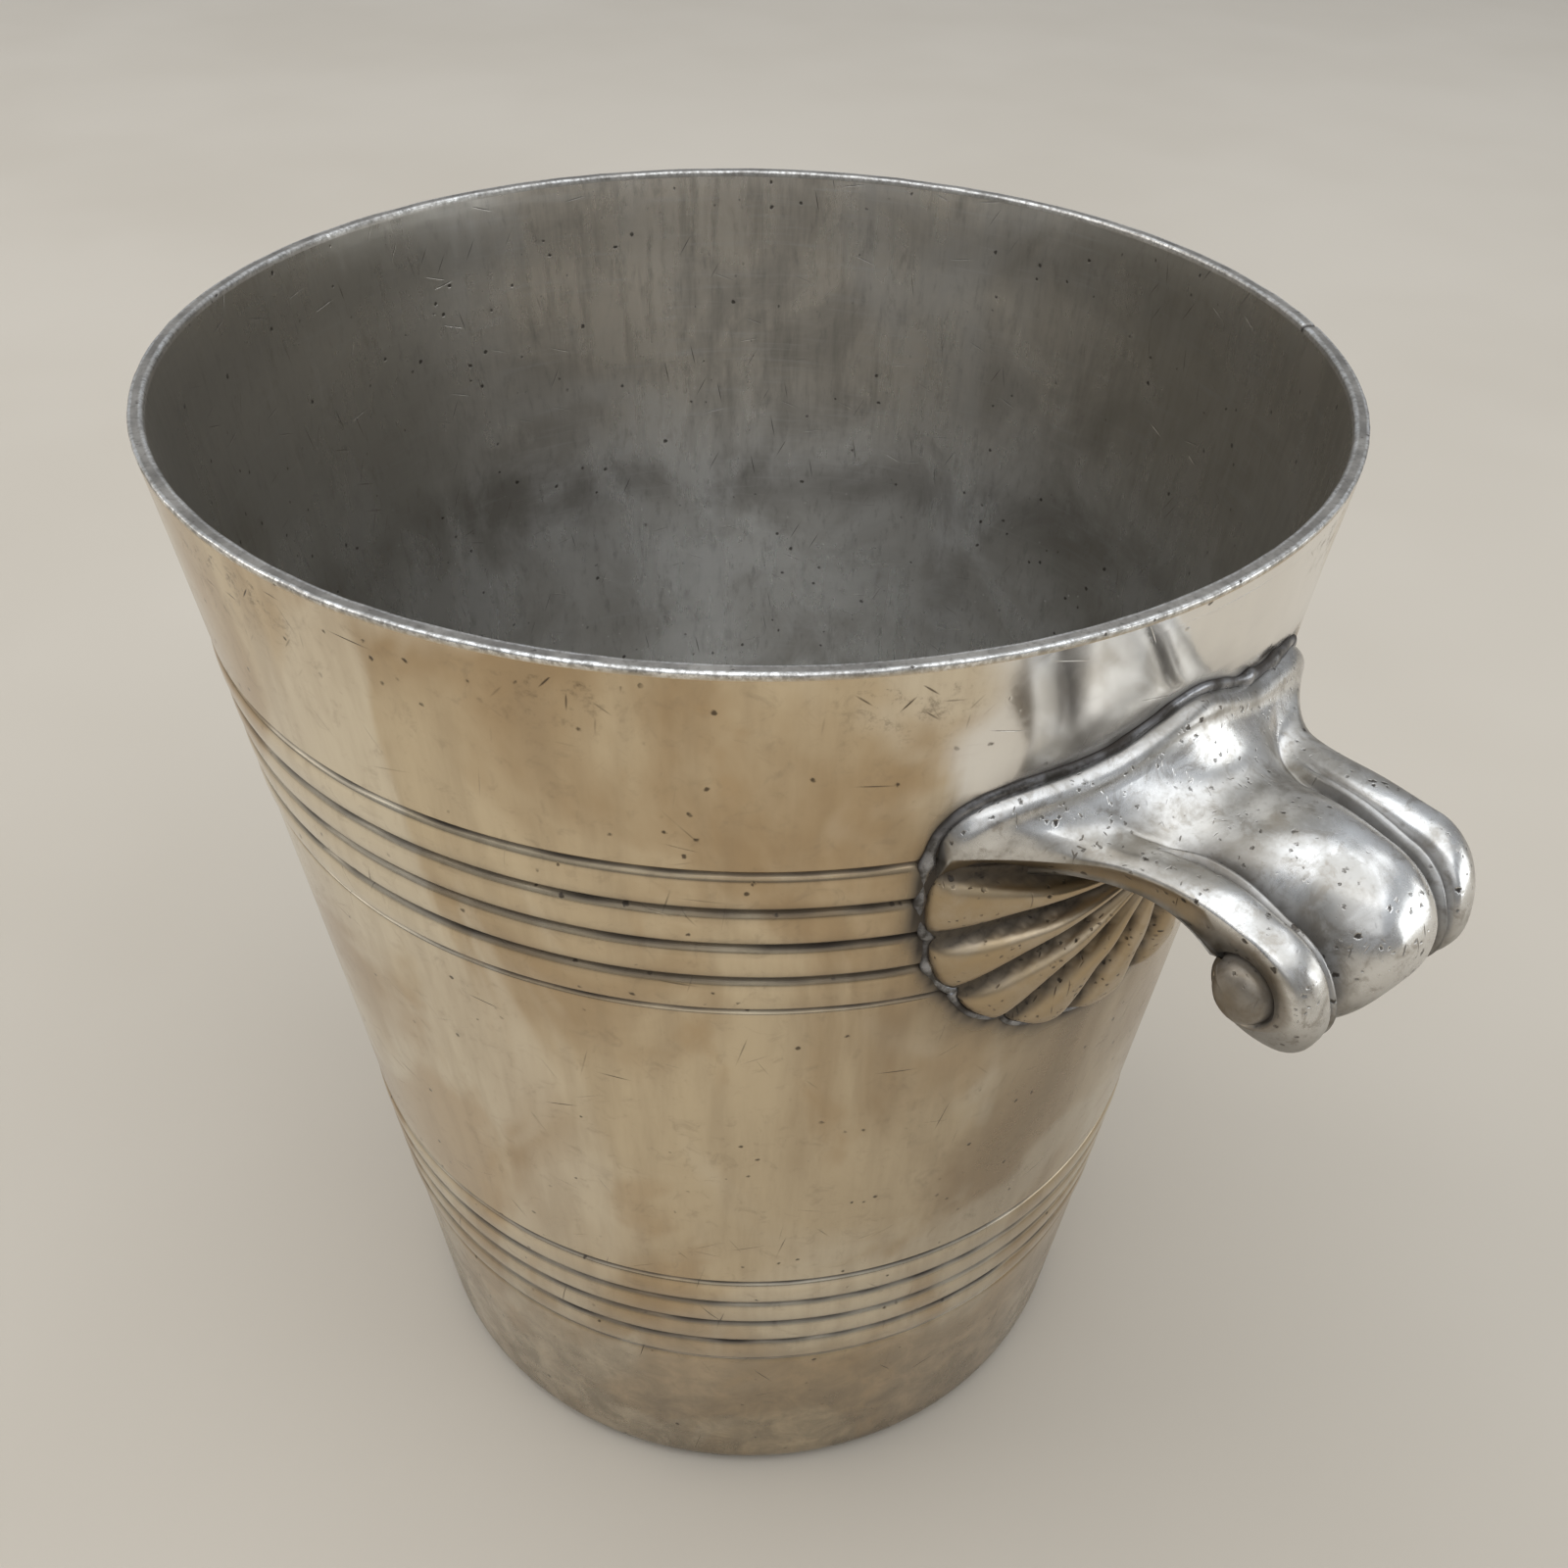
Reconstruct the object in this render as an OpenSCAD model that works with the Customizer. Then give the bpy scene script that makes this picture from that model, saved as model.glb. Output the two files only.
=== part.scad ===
// Champagne bucket: a spun conical body with a rim wire, and two soldered scroll handles.
// Millimetres. +Z is up, the origin is the centre of the base on the resting plane,
// and the two handles lie along +X and -X.

/* [Body] */
// Outer diameter across the mouth
rim_d = 200; // [190:1:215]
// Outer diameter that the wall would reach at the resting plane
base_d = 152; // [140:1:165]
// Height from the resting plane to the top of the rim
body_h = 224; // [215:1:235]
// Thickness of the spun sheet
wall_t = 1.6; // [1.2:0.1:2]
// Outer radius of the rounded lower corner
corner_r = 5; // [3:0.5:8]
// Outer radius of the hollow under the floor
hollow_r = 58; // [40:1:62]
// Height of the hollow under the floor
hollow_h = 2; // [1:0.5:4]

/* [Rim] */
// Width of the rim wire
rim_w = 2.4; // [2:0.1:3]
// Height of the rim wire
rim_h = 3; // [2:0.5:5]
// Chamfer on the upper edges of the rim wire
rim_chamfer = 0.3; // [0.1:0.1:0.6]

/* [Grooves] */
// Grooves in each band
groove_n = 5; // [3:1:6]
// Height of the lowest groove of the upper band
upper_band_z = 159; // [150:1:162]
// Height of the lowest groove of the lower band
lower_band_z = 48.6; // [30:0.2:60]
// Distance from one groove to the next
groove_pitch = 7.4; // [6:0.1:8]
// Diameter of the round section of each groove
groove_d = 1.6; // [1:0.1:2]

/* [Handle] */
// Distance from the bucket's axis to the centre of the curl
curl_x = 128; // [124:1:132]
// Height of the centre of the curl
curl_z = 184.7; // [182:0.1:187]
// Half width of the arm at the curl
arm_half_w = 21; // [18:0.5:24]
// Half width of the arm at the wall
root_half_w = 38; // [34:0.5:38]
// Height of the underside of the arm at the wall
root_low_z = 181; // [180.6:0.1:184]
// Height of the underside of the arm before the curl
arm_low_z = 189.2; // [188:0.1:190]
// Offset from the middle of the arm to each valley between two lobes
valley_y = 12; // [10:0.5:14]
// Offset from the middle of the arm to the crest of each side scroll
crest_y = 18.3; // [16:0.1:20]
// Radius of the eye of each scroll
eye_r = 4.6; // [3.5:0.1:5]
// How far the eye stands out of the side of the scroll
eye_out = 1.8; // [0.5:0.1:3]

/* [Shell] */
// Height of the hub where the ribs of the shell meet
hub_z = 180.3; // [178:0.1:180.4]
// Radius of the shell at the valleys between ribs
shell_r = 37.4; // [34:0.1:39]
// Angle from one rib to the next
rib_step = 22.5; // [15, 22.5, 30]
// Height of each rib above the valleys
rib_h = 2.8; // [1:0.1:4]

/* [Solder] */
// Thickness of the solder between the wall and the handle
solder_t = 0.8; // [0.5:0.1:1.2]
// Half width of the solder patch, and its depth below the hub
solder_r = 40.3; // [39:0.1:44]
// Rise of the shoulders of the solder patch above the hub
solder_rise = 21.5; // [20:0.1:23]
// Further rise of the crown in the middle of the patch
crown_rise = 5.4; // [2:0.1:6]

/* [Hidden] */

$fn = 96;
silver = "#b9b2a3";
silver_warm = "#a9987a";
solder_grey = "#8d8c88";
base_r = base_d / 2;
rim_r = rim_d / 2;
slope = (rim_r - base_r) / body_h;
corner_x = base_r + slope * corner_r - corner_r * sqrt(1 + slope * slope);
arc_n = 8;
fit_gap = 0.03;
solder_power = 5;
crown_half = 11;
// Width of solder that shows round the handle
solder_edge = 1;
// The groove's centre stands this far outside the wall
groove_lift = groove_d / 8;
groove_fn = 24;

// Arm mesh: stations along the flat part, round the curl, and across half the width
flat_n = 10;
curl_n = 20;
half_n = 12;
curl_start = 90;
curl_end = -210;
root_blend = 0.6;
edge_drop = 0.2;
root_flare = 4;
curl_taper = 1.5;
crevice = 0.6;
edge_fall = 1.25;

// Radii of the curl at its top, outer side, bottom and inner end
centre_lobe = [14.3, 12, 13, 8.5];
side_scroll = [10.3, 9.8, 7.8, 6];
valley = [8.6, 8, 7, 5.5];

// Shell mesh: steps in each rib, how many ribs it spans, and the rings from the hub to the edge
rib_steps = 8;
rib_count = 8;
shell_rings = [0, 0.2, 0.4, 0.6, 0.8, 0.93, 1];
hub_rise = 6;
valley_t = 1.2;
scallop = 1.6;
shell_start = -2;
shell_span = 176;
// A rib's section, where along the radius it is full, and how it rounds off at the edge
rib_round = 0.7;
rib_rise = 1.6;
rib_end_power = 8;
rib_end_keep = 1.02;

function wall_r(z) = base_r + slope * z;
function mix(a, b, f) = a + (b - a) * f;
function smooth(f) = let (c = max(0, min(1, f))) c * c * (3 - 2 * c);
function arc(cx, cz, r, a0, a1) =
    [for (i = [0:arc_n]) let (a = mix(a0, a1, i / arc_n)) [cx + r * cos(a), cz + r * sin(a)]];
function on_wall(off, y, z) = sqrt(pow(wall_r(z) + off, 2) - y * y);

// Half section of the spun body, from the middle of the floor up the outside and back down
function body_section() = concat(
    [[0, hollow_h], [hollow_r - hollow_h, hollow_h], [hollow_r, 0]],
    arc(corner_x, corner_r, corner_r, -90, -atan(slope)),
    [[wall_r(body_h - rim_h), body_h - rim_h]],
    [[wall_r(body_h - rim_h) - wall_t, body_h - rim_h]],
    arc(corner_x, corner_r, corner_r - wall_t, -atan(slope), -90),
    [[hollow_r, wall_t], [hollow_r - hollow_h, hollow_h + wall_t], [0, hollow_h + wall_t]]
);

// Round section cuts for one band of grooves
module groove_band(z0) {
    for (i = [0:groove_n - 1]) {
        z = z0 + i * groove_pitch;
        rotate_extrude() translate([wall_r(z) + groove_lift, z]) circle(d = groove_d, $fn = groove_fn);
    }
}

module body_shell() {
    color(silver_warm) difference() {
        rotate_extrude() polygon(body_section());
        groove_band(upper_band_z);
        groove_band(lower_band_z);
    }
}

module rim_wire() {
    low = body_h - rim_h;
    top = body_h - rim_chamfer;
    color(silver) rotate_extrude() polygon([
        [wall_r(low) - rim_w, low],
        [wall_r(low), low],
        [wall_r(top), top],
        [wall_r(body_h) - rim_chamfer, body_h],
        [wall_r(body_h) - rim_w + rim_chamfer, body_h],
        [wall_r(top) - rim_w, top]
    ]);
}

// Outline of the solder patch, seen along the handle: round below, square shoulders and a crown above
function crown(y) = crown_rise * exp(-pow(y / crown_half, 2));
function patch_r(c, s) =
    s < 0 ? solder_r
    : pow(pow(abs(c) / solder_r, solder_power) + pow(s / solder_rise, solder_power), -1 / solder_power);
function patch_outline(n) = [
    for (i = [0:n - 1])
        let (a = 360 * i / n, c = cos(a), s = sin(a), r = patch_r(c, s))
        [r * c, hub_z + r * s + (s > 0 ? crown(r * c) : 0)]
];

module handle_solder() {
    outline_n = 72;
    color(solder_grey) intersection() {
        difference() {
            cylinder(h = body_h, r1 = base_r + solder_t, r2 = rim_r + solder_t);
            cylinder(h = body_h, r1 = base_r, r2 = rim_r);
        }
        translate([base_r / 2, 0, 0]) rotate([90, 0, 90])
            linear_extrude(height = rim_r) polygon(patch_outline(outline_n));
    }
}

// Weight of the centre lobe and of the side scrolls at an offset from the middle
function centre_weight(y) = abs(y) < valley_y ? pow(cos(90 * abs(y) / valley_y), 2) : 0;
function side_weight(y) =
    abs(y) < valley_y ? 0
    : pow(sin(90 * min((abs(y) - valley_y) / (crest_y - valley_y), edge_fall)), 2);
function at_angle(k, a) =
    a > 0 ? mix(k[1], k[0], smooth(a / 90))
    : a > -90 ? mix(k[2], k[1], smooth((a + 90) / 90))
    : mix(k[3], k[2], smooth((a - curl_end) / (-90 - curl_end)));
function curl_r(a, y) = at_angle(valley, a)
    + centre_weight(y) * (at_angle(centre_lobe, a) - at_angle(valley, a))
    + side_weight(y) * (at_angle(side_scroll, a) - at_angle(valley, a));

function arm_half(s) = mix(arm_half_w, root_half_w, pow(1 - s, root_flare));
function root_top_z(v) =
    let (y = abs(v) * root_half_w, f = y / (solder_r - solder_edge))
    hub_z + crown(y) + (solder_rise - solder_edge) * pow(1 - pow(f, solder_power), 1 / solder_power);

// One point of the arm: v runs across it from -1 to 1, and s from the wall to the curl
function top_point(s, v) =
    let (y = v * arm_half(s), y0 = v * root_half_w, z0 = root_top_z(v),
         x0 = on_wall(solder_t + fit_gap, y0, z0),
         z1 = curl_z + curl_r(curl_start, y))
    [mix(x0, curl_x, s), y, mix(z0, z1, smooth(s / (root_blend - edge_drop * v * v)))];
function low_point(s, v) =
    let (y = v * arm_half(s), y0 = v * root_half_w,
         x0 = on_wall(solder_t + fit_gap, y0, root_low_z),
         r = curl_r(curl_end, y),
         x1 = curl_x + r * cos(curl_end))
    [mix(x0, x1, s), y, mix(root_low_z, arm_low_z, smooth(s / root_blend))];
function curl_point(k, v) =
    let (a = mix(curl_start, curl_end, k), y = v * (arm_half_w - curl_taper * k), r = curl_r(a, y))
    [curl_x + r * cos(a), y, curl_z + r * sin(a)];
function arm_loop(v) = concat(
    [for (i = [0:flat_n - 1]) top_point(i / flat_n, v)],
    [for (k = [0:curl_n]) curl_point(k / curl_n, v)],
    [for (i = [flat_n - 1:-1:0]) low_point(i / flat_n, v)]
);
// A ring of the eye, at the angles of the curl's own outline
function eye_ring(v, r, out) =
    let (loop = arm_loop(v), side = v < 0 ? -1 : 1)
    [for (i = [flat_n - 1:flat_n + curl_n + 1])
        let (dx = loop[i][0] - curl_x, dz = loop[i][2] - curl_z, d = sqrt(dx * dx + dz * dz))
        [curl_x + r * dx / d, side * (arm_half_w + out), curl_z + r * dz / d]];

module handle_arm() {
    loop_n = 2 * flat_n + curl_n + 1;
    ring_n = curl_n + 3;
    across = 2 * half_n;
    body_pts = [for (j = [0:across]) each arm_loop(j / half_n - 1)];
    eye_pts = [for (v = [-1, 1]) each concat(
        eye_ring(v, eye_r + crevice, -crevice), eye_ring(v, eye_r - crevice, eye_out / 2),
        [[curl_x, v * (arm_half_w + eye_out), curl_z]])];
    eye_n = 2 * ring_n + 1;
    e0 = len(body_pts);
    skin = [for (j = [0:across - 1]) for (i = [0:loop_n - 1])
        let (a = j * loop_n + i, b = j * loop_n + (i + 1) % loop_n)
        each [[a, a + loop_n, b], [b, a + loop_n, b + loop_n]]];
    // Side faces: the strip of the arm, the rings of the eye, then the eye's tip
    function cap(j, e) = let (o = j * loop_n, m = flat_n - 1) concat(
        [for (i = [0:m - 1]) each [
            [o + i, o + i + 1, o + loop_n - 1 - i],
            [o + i + 1, o + loop_n - 2 - i, o + loop_n - 1 - i]]],
        [for (i = [0:ring_n - 1]) let (n = (i + 1) % ring_n) each [
            [o + m + i, o + m + n, e + i], [o + m + n, e + n, e + i],
            [e + i, e + n, e + ring_n + i], [e + n, e + ring_n + n, e + ring_n + i],
            [e + ring_n + i, e + ring_n + n, e + 2 * ring_n]]]);
    flip = [for (f = cap(across, e0 + eye_n)) [f[0], f[2], f[1]]];
    color(silver) polyhedron(points = concat(body_pts, eye_pts), faces = concat(skin, cap(0, e0), flip));
}

// Height of the shell's face above the solder at an angle and a fraction of its radius
function rib(a) = pow(cos(180 * abs(a / rib_step - round(a / rib_step))), rib_round);
function shell_face(a, f) =
    valley_t + hub_rise * pow(1 - f, 2)
    + rib_h * rib(a) * smooth(f * rib_rise) * sqrt(rib_end_keep - pow(f, rib_end_power));
function shell_point(a, f, h) =
    let (r = f * (shell_r + scallop * rib(a)), z = hub_z + r * sin(a),
         turn = r * cos(a) / wall_r(hub_z) * 180 / PI, w = wall_r(z) + solder_t + fit_gap + h)
    [w * cos(turn), w * sin(turn), z];

module handle_shell() {
    step_n = rib_steps * rib_count;
    ring_n = len(shell_rings);
    row = step_n + 1;
    angles = [for (i = [0:step_n]) shell_start - shell_span * i / step_n];
    face_pts = [for (f = shell_rings) for (a = angles) shell_point(a, f, shell_face(a, f))];
    back_pts = [for (f = shell_rings) for (a = angles) shell_point(a, f, 0)];
    count = len(face_pts);
    // The hub row is one point, so its quads shrink to triangles
    function grid(o, up) = [for (k = [0:ring_n - 2]) for (i = [0:step_n - 1])
        let (a = k == 0 ? o : o + k * row + i, b = k == 0 ? o : a + 1, c = o + (k + 1) * row + i, d = c + 1)
        each [if (k > 0) up ? [a, b, c] : [a, c, b], up ? [b, d, c] : [b, c, d]]];
    // Walls between face and back: along the rim, and down the two straight ends
    edge = [for (i = [0:step_n - 1])
        let (a = (ring_n - 1) * row + i, b = a + 1) each [[a, b, a + count], [b, b + count, a + count]]];
    function end(i, up) = [for (k = [0:ring_n - 2])
        let (a = k == 0 ? 0 : k * row + i, b = (k + 1) * row + i)
        each (up ? [[a, b, a + count], [b, b + count, a + count]]
                 : [[b, a, a + count], [b, a + count, b + count]])];
    color(silver_warm) polyhedron(points = concat(face_pts, back_pts),
        faces = concat(grid(0, true), grid(count, false), edge, end(0, true), end(step_n, false)));
}

module left() {
    rotate([0, 0, 180]) children();
}

body_shell();
rim_wire();
handle_arm();  // right_handle_arm
handle_shell();  // right_handle_shell
handle_solder();  // right_handle_solder
left() handle_arm();  // left_handle_arm
left() handle_shell();  // left_handle_shell
left() handle_solder();  // left_handle_solder
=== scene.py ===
"""Silver champagne bucket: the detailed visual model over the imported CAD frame.

Metres in Blender, +Z up. Shapes are worked out in millimetres and scaled once, when a mesh is made.
"""
import math

import bmesh
import bpy
from mathutils import Matrix, Vector, noise


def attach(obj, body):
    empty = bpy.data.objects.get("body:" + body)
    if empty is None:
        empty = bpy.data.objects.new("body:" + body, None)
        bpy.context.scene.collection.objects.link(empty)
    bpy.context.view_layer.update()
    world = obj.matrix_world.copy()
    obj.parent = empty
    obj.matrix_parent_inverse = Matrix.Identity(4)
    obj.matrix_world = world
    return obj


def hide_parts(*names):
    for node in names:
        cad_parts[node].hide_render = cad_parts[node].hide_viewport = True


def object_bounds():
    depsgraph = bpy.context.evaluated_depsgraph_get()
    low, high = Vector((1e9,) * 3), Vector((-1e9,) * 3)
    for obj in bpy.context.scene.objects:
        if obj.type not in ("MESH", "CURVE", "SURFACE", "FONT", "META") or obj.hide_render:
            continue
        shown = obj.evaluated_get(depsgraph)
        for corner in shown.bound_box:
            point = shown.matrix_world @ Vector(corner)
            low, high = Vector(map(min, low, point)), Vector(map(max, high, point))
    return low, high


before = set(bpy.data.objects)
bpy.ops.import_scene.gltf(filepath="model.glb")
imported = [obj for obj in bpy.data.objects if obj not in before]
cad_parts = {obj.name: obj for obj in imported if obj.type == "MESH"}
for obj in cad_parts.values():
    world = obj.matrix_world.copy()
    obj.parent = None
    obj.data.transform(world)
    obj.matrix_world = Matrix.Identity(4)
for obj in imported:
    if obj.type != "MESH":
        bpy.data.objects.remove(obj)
cad_low, cad_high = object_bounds()

MM = 0.001

# --- Body, in millimetres ---
BODY_H = cad_high.z / MM
BASE_R = 76.0
RIM_R = 100.0
SLOPE = (RIM_R - BASE_R) / BODY_H
WALL_T = 1.6
CORNER_R = 5.0
HOLLOW_R = 58.0
HOLLOW_H = 2.0
RIM_W = 2.4
RIM_H = 3.0
RIM_SWELL = 16.0
JOINT_EDGE = 0.06
RIM_CORNERS = (0.5, 0.45)
RIM_STEPS = 900
SHARP = math.radians(50)
BODY_STEPS = 400
CORNER_STEPS = 12
INSIDE_STEPS = 60
# Radii of the rings in the middle of the underside and of the floor, and of the hollow's slope
UNDER_RADII = (0.0, 14.0, 28.0, 42.0, 50.0)
FLOOR_RADII = (48.0, 36.0, 24.0, 12.0, 0.0)
SLOPE_RADII = (53.0, HOLLOW_R + 1)
SLOPE_STEPS = 8
HOLLOW_DIRT = 0.3
# A pale painted reflection lies on the wall above each handle, this far to each side and down to this
# height
REFLECTION_HALF = 39.5
REFLECTION_LOW = 196.0
# The mouth has been knocked outward on one side, and heat has warped the wall round the handles
KNOCK = 2.2
KNOCK_TURN = 232.0
DISTORTION = 0.22
# The rim wire's small knocks, its worn dips and the nick where its ends meet
RIM_KNOCK = 0.11
RIM_DIP = 0.16
RIM_NICK = 0.35
RIM_JOINT = 60.0

GROOVE_N = 5
GROOVE_PITCH = 7.4
UPPER_BAND_Z = 159.0
LOWER_BAND_Z = 48.6
GROOVE_DEEP = 1.1
GROOVE_FINE = 0.8
GROOVE_HALF = 0.5
GROOVE_DIRT = 0.95
BEAD_BULGE = 0.42
# Steps up the wall: in a groove as far as its reach, next to it and elsewhere
GROOVE_REACH = 1.3
WALL_STEPS = (0.16, 0.9, 2.5)

# --- Handle, in millimetres: the right one, along +X ---
HUB_Z = 180.3
PATCH_R = 39.3
PATCH_RISE = 20.5
PATCH_POWER = 5.0
CROWN_RISE = 5.4
CROWN_HALF = 11.0
ROOT_HALF = 38.3
ROOT_FLARE = 3.9
ROOT_LOW_MIDDLE = 181.2
ROOT_LOW_EDGE = 183.2
SIDE_TUCK = 3.2
# The lip's greatest and least radius, and how it shrinks where the arm is thin
LIP = 2.6
LIP_LEAST = 0.3
LIP_SHARE = 0.25
LIP_ROOM = 4
LIP_OUT = 0.7
LIP_STEPS = 7
TOP_STEPS = 30
CURL_X = 128.0
CURL_Z = 184.7
CURL_END = -212.0
CURL_STEPS = 56
ARM_HALF = 21.0
ARM_TAPER = 1.6
HALF_STEPS = 56
EDGE_ROUND = 0.55
EDGE_STEPS = 5
EDGE_POWER = 1.7
BURIED = 0.4
FOOT_SPARE = 0.2
# How far out the arm's side goes, the points across it and how hollow it is
SIDE_SHARE = 0.8
SIDE_INNER = 4
SIDE_HOLLOW = 0.6
# How dirty each place on the arm is, and how worn its lip is
FOOT_DIRT = 0.9
LIP_DIRT = 0.5
LIP_WORN = 0.7
LOW_DIRT = 0.55
CURL_DIRT = 0.56
SIDE_DIRT = 0.42
EYE_DIRT = 0.58
EYE_TIP_DIRT = 0.48
EYE_BROWN = 0.4
VALLEY_DIRT = 0.9
VALLEY_HALF = 0.10

# Lines along the arm, as shares of its half width: middle, valley, crest of the side scroll, edge
LINES = (0.0, 0.55, 0.83, 1.0)
LOBE_POWER = 2.8
# Height of the top along each line, at shares of the way from the lip to the curl
TOP_LINES = (
    ((0.16, 197.8), (0.31, 196.6), (0.5, 197.4), (0.7, 198.6), (0.85, 199.0), (1.0, 199.0)),
    ((0.2, 193.2), (0.38, 192.5), (0.55, 193.2), (0.72, 192.8), (0.9, 190.9), (1.0, 189.3)),
    ((0.12, 195.0), (0.28, 193.9), (0.44, 194.5), (0.6, 195.2), (0.8, 195.5), (1.0, 194.9)),
    ((0.12, 191.4), (0.26, 191.7), (0.39, 192.9), (0.52, 193.8), (0.72, 194.6), (1.0, 194.3)),
)
# Radius of the curl along each line, at angles from the top round the outside to the inner end
CURL_LINES = (
    ((90, 14.3), (60, 13.9), (28, 13.0), (5, 11.7), (-22, 10.6), (-62, 11.5), (-90, 12.6),
     (-150, 10.5), (-212, 8.3)),
    ((90, 4.6), (54, 4.2), (20, 5.2), (-14, 7.2), (-45, 8.3), (-90, 8.0), (-150, 6.6), (-212, 5.4)),
    ((90, 10.2), (55, 9.9), (17, 9.5), (-15, 10.2), (-50, 10.6), (-75, 9.6), (-100, 8.6),
     (-150, 7.0), (-212, 5.6)),
    ((90, 9.6), (60, 8.8), (31, 8.3), (0, 8.3), (-41, 6.9), (-90, 6.2), (-150, 5.6), (-212, 5.2)),
)
# Height of the underside at shares of the way from the wall to the curl: middle, then edge
LOW_LINES = (
    ((0.0, 181.2), (0.2, 182.2), (0.4, 184.8), (0.55, 187.0), (0.7, 188.8), (0.85, 189.4)),
    ((0.0, 183.2), (0.18, 183.7), (0.39, 185.5), (0.54, 187.4), (0.69, 189.2), (0.84, 189.4)),
)
# The fine bead in each valley and its two grooves: place across, half width, height or depth
BEAD_V = 0.625
BEAD_HALF = 0.028
BEAD_H = 1.0
BEAD_GROOVES = ((0.575, 0.036, 1.1), (0.672, 0.026, 0.95))

EYE_X = 127.5
EYE_Z = 184.1
EYE_SIDE = 19.8
# Rings from the side of the scroll in to the eye: radius, share of the outline's distance, step out
EYE_RINGS = (
    (5.6, 0.985, -0.1), (5.2, 0.95, -1.3), (4.9, 0.91, -0.9), (4.6, 0.87, 0.3),
    (4.2, 0.80, 1.1), (3.4, 0.66, 1.75), (2.4, 0.46, 2.15), (1.2, 0.23, 2.35),
)
EYE_TIP = 2.4

# --- Shell, in millimetres ---
SHELL_R = 37.0
SCALLOP = 1.9
RIB_STEP = 22.5
RIB_H = 3.6
RIB_SAMPLES = 22
SHELL_START = 11.25
SHELL_RIBS = 9
SHELL_RINGS = 30
SHELL_HUB_RISE = 6.0
SHELL_FLOOR = 0.4

# --- Solder: rings and their sides, and the drips at the top as places across and sizes ---
SOLDER_STEPS = 420
SOLDER_SIDES = 12
DRIPS = ((14.0, 1.0), (23.0, 1.7))

# Painted shade: the inside of the bucket is darker toward both ends of a line in this direction
INSIDE_SHADE_LINE = (0.634, 0.773)


# --- Small maths ---
def mix(a, b, f):
    """The value a share of the way from a to b."""
    return a + (b - a) * f


def clamp(f):
    return max(0.0, min(1.0, f))


def smooth(f):
    """A soft step from 0 to 1 as f goes from 0 to 1."""
    f = clamp(f)
    return f * f * (3 - 2 * f)


def cosd(a):
    return math.cos(math.radians(a))


def sind(a):
    return math.sin(math.radians(a))


def bell(x, half):
    """A bell curve, 1 in the middle."""
    return math.exp(-((x / half) ** 2))


def curve(keys, t):
    """Smooth curve through (place, value) keys, held flat beyond both ends."""
    if t <= keys[0][0]:
        return keys[0][1]
    for i in range(len(keys) - 1):
        (t0, v0), (t1, v1) = keys[i], keys[i + 1]
        if t <= t1:
            before = keys[max(i - 1, 0)]
            after = keys[min(i + 2, len(keys) - 1)]
            d0 = (v1 - before[1]) / (t1 - before[0])
            d1 = (after[1] - v0) / (after[0] - t0)
            f = (t - t0) / (t1 - t0)
            h = t1 - t0
            return ((1 + 2 * f) * (1 - f) ** 2 * v0 + f * (1 - f) ** 2 * h * d0
                    + f * f * (3 - 2 * f) * v1 + f * f * (f - 1) * h * d1)
    return keys[-1][1]


def wobble(x, y, z, size, seed):
    """Smooth noise from -1 to 1 with features of about size millimetres."""
    return noise.noise(Vector((x / size + seed, y / size - seed, z / size + 2 * seed)))


def wall_r(z):
    """Radius of the outside wall at a height."""
    return BASE_R + SLOPE * z


def on_wall(off, across, z):
    """A point at a distance across the wall, measured round it, and a height."""
    turn = across / wall_r(HUB_Z)
    return (wall_r(z) + off) * math.cos(turn), (wall_r(z) + off) * math.sin(turn), z


# --- Mesh making ---
def add_object(name, data):
    """A new object in the scene."""
    item = bpy.data.objects.new(name, data)
    bpy.context.scene.collection.objects.link(item)
    return item


def make_piece(name, points, faces, masks, materials, slots=None):
    """A smooth-shaded mesh piece from points in millimetres, riding on the only body."""
    mesh = bpy.data.meshes.new(name)
    mesh.from_pydata([(x * MM, y * MM, z * MM) for x, y, z in points], [], faces)
    mesh.validate()
    for key, values in masks.items():
        layer = mesh.attributes.new(key, "FLOAT", "POINT")
        layer.data.foreach_set("value", values)
    for material in materials:
        mesh.materials.append(material)
    if slots:
        mesh.polygons.foreach_set("material_index", slots)
    mesh.polygons.foreach_set("use_smooth", [True] * len(mesh.polygons))
    mesh.update()
    piece = add_object(name, mesh)
    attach(piece, "root")
    return piece


def ring_faces(rows, cols, close_cols=True, close_rows=False, first=0):
    """Quads of a grid of points held row by row."""
    faces = []
    for r in range(rows if close_rows else rows - 1):
        this, after = first + r * cols, first + (r + 1) % rows * cols
        for c in range(cols if close_cols else cols - 1):
            d = (c + 1) % cols
            faces.append((this + c, this + d, after + d, after + c))
    return faces


# --- Body ---
def groove_list():
    """Every groove as its height and its depth: the outer two of a band are finer."""
    grooves = []
    for low in (UPPER_BAND_Z, LOWER_BAND_Z):
        for i in range(GROOVE_N):
            fine = i in (0, GROOVE_N - 1)
            grooves.append((low + i * GROOVE_PITCH, GROOVE_FINE if fine else GROOVE_DEEP))
    return grooves


GROOVES = groove_list()


def groove_shape(z):
    """Inward offset of the wall at a height, and how dark the groove is there."""
    offset = 0.0
    dark = 0.0
    for low in (UPPER_BAND_Z, LOWER_BAND_Z):
        t = (z - low) / GROOVE_PITCH
        if 0 < t < GROOVE_N - 1:
            offset -= BEAD_BULGE * (1 - (2 * (t % 1) - 1) ** 2)
    for height, depth in GROOVES:
        offset += depth * bell(z - height, GROOVE_HALF)
        wide = GROOVE_DIRT * mix(0.6, 1.0, (depth - GROOVE_FINE) / (GROOVE_DEEP - GROOVE_FINE))
        dark = max(dark, mix(1.0, 1.35, depth / GROOVE_DEEP) * bell(z - height, wide))
    return offset, min(dark, 1.0)


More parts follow.
